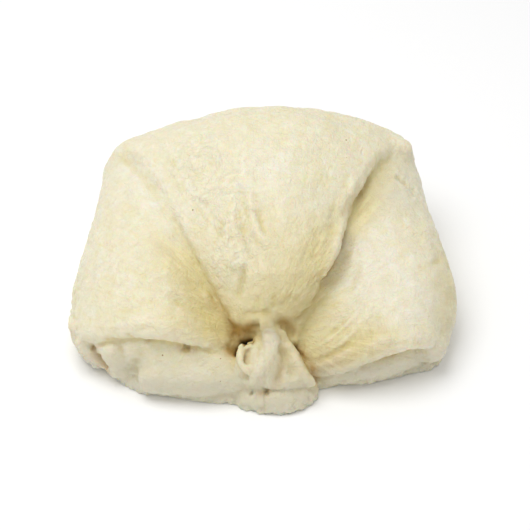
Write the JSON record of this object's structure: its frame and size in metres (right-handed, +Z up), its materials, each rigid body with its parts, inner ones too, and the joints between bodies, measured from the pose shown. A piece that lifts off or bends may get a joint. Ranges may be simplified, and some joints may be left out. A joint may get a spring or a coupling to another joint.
{
  "type": "folded raw dough parcel",
  "caption": "Raw pastry dough rolled out, folded in from the sides and back like an envelope and pinched into a knot at the front, with a flat underside.",
  "frame": {"origin": "middle of the flat underside, under the centre of the overall box", "axes": "+X to the right along the width, +Y to the back away from the pinched knot, +Z up from the table"},
  "size_m": [0.094, 0.082, 0.04],
  "materials": {
    "dough": "soft satin, raw pastry dough, cream, slightly translucent, with fine bran specks"
  },
  "bodies": {
    "root": {"dough": "dough"}
  },
  "joints": []
}
